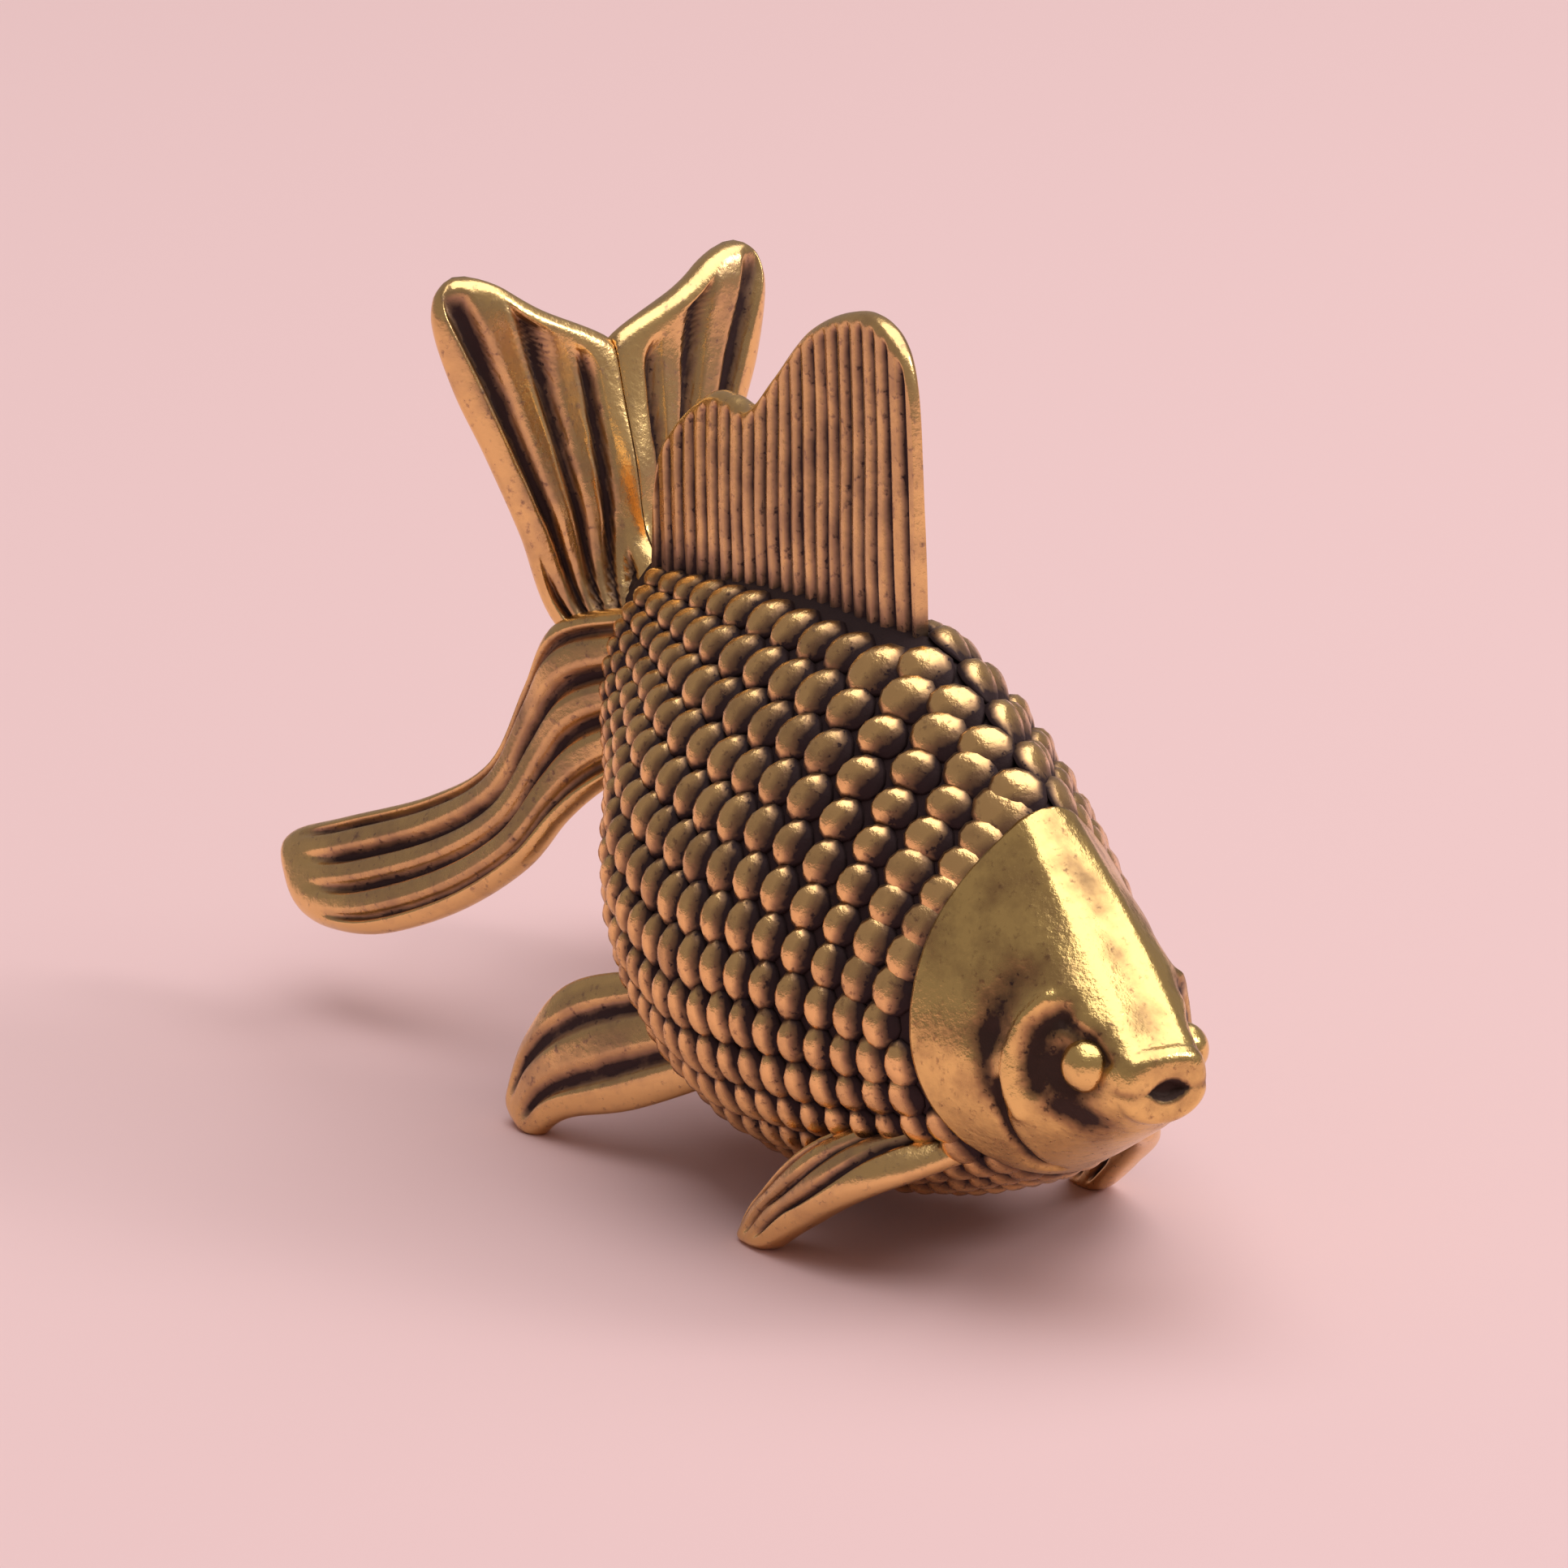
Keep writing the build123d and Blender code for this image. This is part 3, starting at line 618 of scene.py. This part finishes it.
dorsal, dorsal_wear = start_piece()
dorsal_rows = []
for step in range(DORSAL_STEPS + 1):
    edge_x, edge_z = dorsal_edge(step / DORSAL_STEPS)
    foot_x = edge_x + FLUTE_LEAN * (edge_z - RIDGE_LEVEL)
    foot_x = min(max(foot_x, DORSAL_FRONT - DORSAL_LENGTH), DORSAL_FRONT)
    foot_z = mix(FOOT_FRONT, FOOT_REAR, (DORSAL_FRONT - foot_x) / DORSAL_LENGTH) - FOOT_DEPTH
    ray_length = math.hypot(edge_x - foot_x, edge_z - foot_z)
    row = []
    for k in range(2 * DORSAL_RISE):
        side = -1 if k < DORSAL_RISE else 1
        up = (k + 0.5) / DORSAL_RISE if side < 0 else (2 * DORSAL_RISE - k - 0.5) / DORSAL_RISE
        # Vertices stand closer together near the rim
        up = 1.0 - (1.0 - up) ** 1.5
        x, z = mix(foot_x, edge_x, up), mix(foot_z, edge_z, up)
        from_edge = (1.0 - up) * ray_length
        from_front = max(DORSAL_FRONT - x, 0.0)
        above = z - RIDGE_LEVEL
        # The plate thins towards its top and its front, and its rim is rounded
        half = DORSAL_HALF * mix(0.72, 1.0, ease(6.0, 1.0, above))
        half *= mix(0.42, 1.0, ease(0.1, 1.8, from_front))
        round_off = min(from_edge, DORSAL_ROUNDING) / DORSAL_ROUNDING
        half *= math.sqrt(max(1.0 - (1.0 - round_off) ** 2, 0.0))
        inside = ease(0.25, 0.6, from_edge) * ease(0.1, 0.3, from_front)
        flute = FLUTES * (DORSAL_FRONT - x - FLUTE_LEAN * above) / DORSAL_LENGTH
        groove = ease(0.42, 0.97, 0.5 - 0.5 * math.cos(2 * math.pi * flute))
        # The fin is darker near its foot: wear is cut to 0.3 of its value up to 0.9 mm above the foot and
        # regained by 2.4 mm
        shine = mix(0.86, mix(0.76, 0.02, groove), inside) * mix(0.3, 1.0, ease(0.9, 2.4, z - foot_z))
        row.append((Vector((x, side * (half - FLUTE_DEPTH * groove * inside), z)), shine))
    dorsal_rows.append(row)
skin(dorsal, dorsal_wear, 2 * DORSAL_RISE, dorsal_rows)
finish_piece(dorsal, "dorsal_fin_look", fin_brass)

# %% [markdown]
# ## Fin blades
# The tail and the belly fins are blades: a front edge, a rear edge and a thickness that follow a few
# stations from root to tip. Each ring of the skin goes round the blade. Ribs run along its length on both
# faces, with dark grooves between them, and end before a thick rounded rim and a smooth tip, both rubbed
# to gold. A cup bends the sheet like a petal.

# %% Blade helper
# The half width of the ribbed face, the angle between fan rays, and where the tip starts to round off
RIM, RAY_ANGLE, TIP_START = 0.8, 0.15, 0.92


def blade(mesh, wear_and_painted_light, rows, thickness, ribs, groove, cup, side, steps=56, count=112, meet=-math.inf,
          inner=0.2, gold=0.86, fan=None):
    """Grow a ribbed blade. Rows are (place, front edge, rear edge, thickness share) from root to tip.

    The ribs keep their share of the width, or run straight out from a fan point if there is one. The
    front rim is as broad as inner says, ribs fade out at the place called gold, and no point comes
    closer to the middle of the fish than meet."""
    def frame_at(place):
        front, rear, share = smooth_row(rows, place)
        return (front + rear) / 2, rear - front, share

    def grooves(w, point):
        """How deep in a groove a point of the sheet lies, from 0 on a rib to 1."""
        turns = ribs * w / (2 * RIM)
        if fan:
            ray = point - fan
            turns = math.atan2(ray.dot(fan_side), ray.dot(fan_way)) / RAY_ANGLE
        return 0.5 - 0.5 * math.cos(2 * math.pi * turns)

    if fan:
        fan_way = (frame_at(0.8)[0] - fan).normalized()
        fan_side = frame_at(0.6)[1]
        fan_side = (fan_side - fan_way * fan_side.dot(fan_way)).normalized()
    grown = []
    for step in range(steps + 1):
        place = step / steps
        middle, chord, share = frame_at(place)
        ahead = frame_at(min(place + 0.02, 1.0))[0] - frame_at(max(place - 0.02, 0.0))[0]
        across = chord.cross(ahead).normalized()
        past = max((place - TIP_START) / (1.0 - TIP_START), 0.0)
        tip = math.sqrt(max(1.0 - past ** 2 * 0.98, 0.0))
        arch = cup * math.sin(math.pi * min(place * 1.05, 1.0))
        row = []
        for k in range(count):
            turn = 2 * math.pi * k / count
            w = math.cos(turn)
            face = 1.0 if math.sin(turn) >= 0 else -1.0
            depth = grooves(w, middle + chord * (w / 2))
            edge = max(ease(RIM - 0.06, RIM + 0.08, abs(w)), ease(inner - 0.94, inner - 1.08, w))
            inside = (1.0 - edge) * ease(gold + 0.12, gold - 0.04, place)
            half = thickness * share / 2 * math.sqrt(max(1.0 - abs(w) ** 3.2, 0.0)) * tip
            lift = (half - groove * inside * ease(0.45, 1.0, depth)) * face + arch * (1.0 - w * w)
            point = middle + chord * (w / 2 * mix(0.2, 1.0, tip)) + across * lift
            polish = max(edge, ease(gold, gold + 0.1, place))
            shine = mix(mix(0.74, 0.06, ease(0.66, 1.0, depth)), 0.92, polish)
            row.append((Vector((point.x, max(-point.y, meet) * side, point.z)), shine))
        grown.append(row)
    skin(mesh, wear_and_painted_light, count, grown)


def placed(rows, origin, size):
    """Turn rows of shares into points: origin, then length back, spread out and height."""
    made = []
    for index, (front, rear, share) in enumerate(rows):
        points = [Vector((origin.x - size.x * b, origin.y - size.y * o, origin.z + size.z * u))
                  for b, o, u in (front, rear)]
        made.append((index / (len(rows) - 1), points[0], points[1], share))
    return made


# %% [markdown]
# ## The twin tail
# A fancy goldfish has two tails side by side. Each half has an upper and a lower lobe. The rays of the
# upper one fan out straight from the root, and the inner rims of the two upper lobes meet along the stem,
# which hands have rubbed to bright gold.

# %% Tail halves
TAIL_ROOT = Vector((TAIL_END, 0.0, 12.5))
TAIL_LENGTH, TAIL_SPREAD, UPPER_RISE, LOWER_DROP = 12.2, 6.3, 11.6, 9.6
TAIL_THICKNESS, TAIL_RIBS, TAIL_GROOVE, TAIL_CUP = 1.5, 3, 0.4, 0.2
FAN_POINT = Vector((-8.2, -0.6, 11.5))
# Half of the gap between the two halves, and of the gap between their roots
STEM_GAP, STUB_GAP = 0.015, 0.02
# Lobes from root to tip: front edge and rear edge as shares back, out and up or down, then thickness
UPPER_LOBE = [
    ((-0.10, -0.06, 0.24), (-0.10, 0.14, -0.10), 1.00),
    ((0.02, -0.07, 0.34), (0.12, 0.37, 0.09), 1.00),
    ((0.08, -0.07, 0.52), (0.14, 0.53, 0.33), 1.00),
    ((0.14, -0.06, 0.67), (0.17, 0.68, 0.54), 1.00),
    ((0.18, -0.02, 0.79), (0.20, 0.81, 0.71), 1.00),
    ((0.20, 0.37, 0.90), (0.24, 0.88, 0.88), 1.00),
    ((0.25, 0.62, 0.99), (0.27, 0.82, 0.99), 0.75),
]
LOWER_LOBE = [
    ((-0.12, 0.13, 0.29), (-0.12, 0.13, -0.22), 1.00),
    ((-0.07, 0.33, 0.38), (0.10, 0.36, -0.12), 1.00),
    ((-0.02, 0.48, 0.48), (0.20, 0.41, 0.10), 1.00),
    ((0.05, 0.64, 0.64), (0.28, 0.51, 0.37), 1.00),
    ((0.24, 0.79, 0.82), (0.50, 0.62, 0.55), 1.00),
    ((0.48, 0.95, 0.96), (0.77, 0.80, 0.69), 1.00),
    ((0.70, 1.01, 1.01), (0.95, 0.88, 0.78), 0.95),
    ((0.86, 1.00, 1.00), (1.00, 0.94, 0.85), 0.75),
]
# The root that carries the lobes: place back, and shares of the trunk's width and height at its end
STUB = [(-0.6, 1.0, 1.0), (0.3, 0.97, 0.98), (1.1, 0.86, 0.9), (1.8, 0.7, 0.8), (2.1, 0.4, 0.55)]
STUB_SHINE = 0.3


def tail_stub(mesh, wear_and_painted_light, side):
    """Half of the root that carries the lobes, drawn in from the trunk's end to the tail."""
    flank = flank_samples("trunk", TAIL_END)[0][::2]
    rows = []
    for back, width, height in STUB:
        outer = [Vector((TAIL_END - back, side * (y * width + STUB_GAP), mix(TAIL_ROOT.z, z, height)))
                 for y, z in flank]
        inner = [Vector((place.x, side * STUB_GAP, place.z)) for place in reversed(outer[1:-1])]
        rows.append([(place, STUB_SHINE) for place in outer + inner])
    skin(mesh, wear_and_painted_light, len(rows[0]), rows)


upper_rows = placed(UPPER_LOBE, TAIL_ROOT, Vector((TAIL_LENGTH, TAIL_SPREAD, UPPER_RISE)))
lower_rows = placed(LOWER_LOBE, TAIL_ROOT, Vector((TAIL_LENGTH, TAIL_SPREAD, -LOWER_DROP)))
for node, side in (("tail_fin_right", 1), ("tail_fin_left", -1)):
    tail, tail_wear = start_piece()
    tail_stub(tail, tail_wear, -side)
    blade(tail, tail_wear, upper_rows, TAIL_THICKNESS, TAIL_RIBS, TAIL_GROOVE, TAIL_CUP, side,
          meet=STEM_GAP, inner=0.5, fan=FAN_POINT)
    blade(tail, tail_wear, lower_rows, TAIL_THICKNESS, TAIL_RIBS, TAIL_GROOVE, -TAIL_CUP, side,
          meet=STEM_GAP, gold=0.74)
    finish_piece(tail, node + "_look", fin_brass)

# %% [markdown]
# ## Belly fins
# The fish stands on the tips of its four belly fins. They are small leaves with a few ribs, a broad gold
# front rim and a smooth tip. The tips reach a little below the ground, so they are pressed flat there,
# which gives the fish its feet.

# %% Pectoral and pelvic fins
# From root to tip: front edge and rear edge as shares back, out and up, then thickness
PECTORAL = [
    ((-0.05, -0.30, 0.92), (0.30, -0.10, 1.06), 1.00),
    ((0.13, 0.50, 0.68), (0.63, 0.72, 0.72), 1.00),
    ((0.47, 0.84, 0.33), (0.91, 0.88, 0.26), 1.00),
    ((0.80, 0.97, -0.03), (1.00, 0.95, -0.03), 0.90),
]
PELVIC = [
    ((-0.10, -0.40, 0.60), (0.25, -0.40, 1.05), 1.00),
    ((0.30, 0.40, 0.30), (0.68, 0.50, 0.86), 1.00),
    ((0.62, 0.85, 0.14), (0.89, 0.80, 0.52), 1.00),
    ((0.80, 1.00, -0.05), (1.00, 0.96, 0.06), 0.90),
]
# Each fin's origin on the ground under its root, then its length back, reach out and height
pectoral_rows = placed(PECTORAL, Vector((14.2, -2.7, 0.0)), Vector((7.4, 3.0, 4.6)))
pelvic_rows = placed(PELVIC, Vector((2.2, -4.3, 0.0)), Vector((8.2, 2.0, 5.6)))
BELLY_THICKNESS, BELLY_GROOVE, BELLY_CUP = 1.1, 0.24, 0.1
# Each pair: its name, rows, ribs and breadth of the front rim
BELLY_FINS = [("pectoral_fin", pectoral_rows, 3, 0.62), ("pelvic_fin", pelvic_rows, 2, 0.36)]
for name, rows, ribs, inner in BELLY_FINS:
    for ending, side in (("right", 1), ("left", -1)):
        fin, fin_wear = start_piece()
        blade(fin, fin_wear, rows, BELLY_THICKNESS, ribs, BELLY_GROOVE, BELLY_CUP, side, steps=44, count=88,
              inner=inner, gold=0.8)
        for vertex in fin.verts:
            vertex.co.z = max(vertex.co.z, 0.0)
        finish_piece(fin, f"{name}_{ending}_look", fin_brass)

# %% [markdown]
# ## Floor, light and camera
# The photograph was taken on a sheet of pale pink paper, under a broad soft light from above and a little
# behind. A small lamp at the right of the picture adds the sharper glints. Metal shows what is around it,
# so the paper matters: it gives the lower scales their copper tone. The camera looks down at the fish
# from its front right, through a long lens.

# %% Floor
FLOOR_HALF = 1.5
floor_mesh = bmesh.new()
bmesh.ops.create_grid(floor_mesh, x_segments=2, y_segments=2, size=FLOOR_HALF)
floor_data = bpy.data.meshes.new("floor")
floor_mesh.to_mesh(floor_data)
floor_mesh.free()
floor = bpy.data.objects.new("floor", floor_data)
bpy.context.scene.collection.objects.link(floor)
paper = bpy.data.materials.new("paper")
paper.use_nodes = True
paper_shader = paper.node_tree.nodes["Principled BSDF"]
paper_shader.inputs["Base Color"].default_value = (0.82, 0.56, 0.56, 1.0)
paper_shader.inputs["Roughness"].default_value = 0.9
floor_data.materials.append(paper)

# %% Lights
AIM = Vector((0.0, 0.0, 0.01))


def soft_light(name, place, size, power):
    """A square area lamp at a place, turned to the fish, all in metres and watts."""
    lamp = bpy.data.lights.new(name, "AREA")
    lamp.size = size
    lamp.energy = power
    holder = bpy.data.objects.new(name, lamp)
    holder.location = place
    holder.rotation_euler = (AIM - Vector(place)).to_track_quat("-Z", "Y").to_euler()
    bpy.context.scene.collection.objects.link(holder)


soft_light("overhead", (0.02, 0.1, 0.5), 0.7, 2.9)
soft_light("right", (0.3, 0.42, 0.34), 0.16, 0.75)
world = bpy.data.worlds.new("room")
world.use_nodes = True
room = world.node_tree.nodes["Background"]
room.inputs["Color"].default_value = (1.0, 0.87, 0.84, 1.0)
room.inputs["Strength"].default_value = 0.27
bpy.context.scene.world = world
bpy.context.scene.view_settings.view_transform = "Standard"

# %% Camera
# The focal length and the photograph's width in pixels give the lens for a sensor of this width
SENSOR, FOCAL_PIXELS, PHOTO_PIXELS = 36.0, 13860.0, 1932.0
camera_data = bpy.data.cameras.new("camera")
camera_data.sensor_fit = "HORIZONTAL"
camera_data.sensor_width = SENSOR
camera_data.lens = SENSOR * FOCAL_PIXELS / PHOTO_PIXELS
camera_data.clip_start = 0.01
camera = bpy.data.objects.new("camera", camera_data)
azimuth, elevation = math.radians(60.5), math.radians(16.5)
look_way = Vector((-math.sin(azimuth) * math.cos(elevation), math.cos(azimuth) * math.cos(elevation),
                   -math.sin(elevation)))
camera.location = Vector((272.35, -154.4, 103.6)) * MILLIMETRE
camera.rotation_euler = look_way.to_track_quat("-Z", "Y").to_euler()
bpy.context.scene.collection.objects.link(camera)
bpy.context.scene.camera = camera
print("Camera at", [round(v, 4) for v in camera.location])
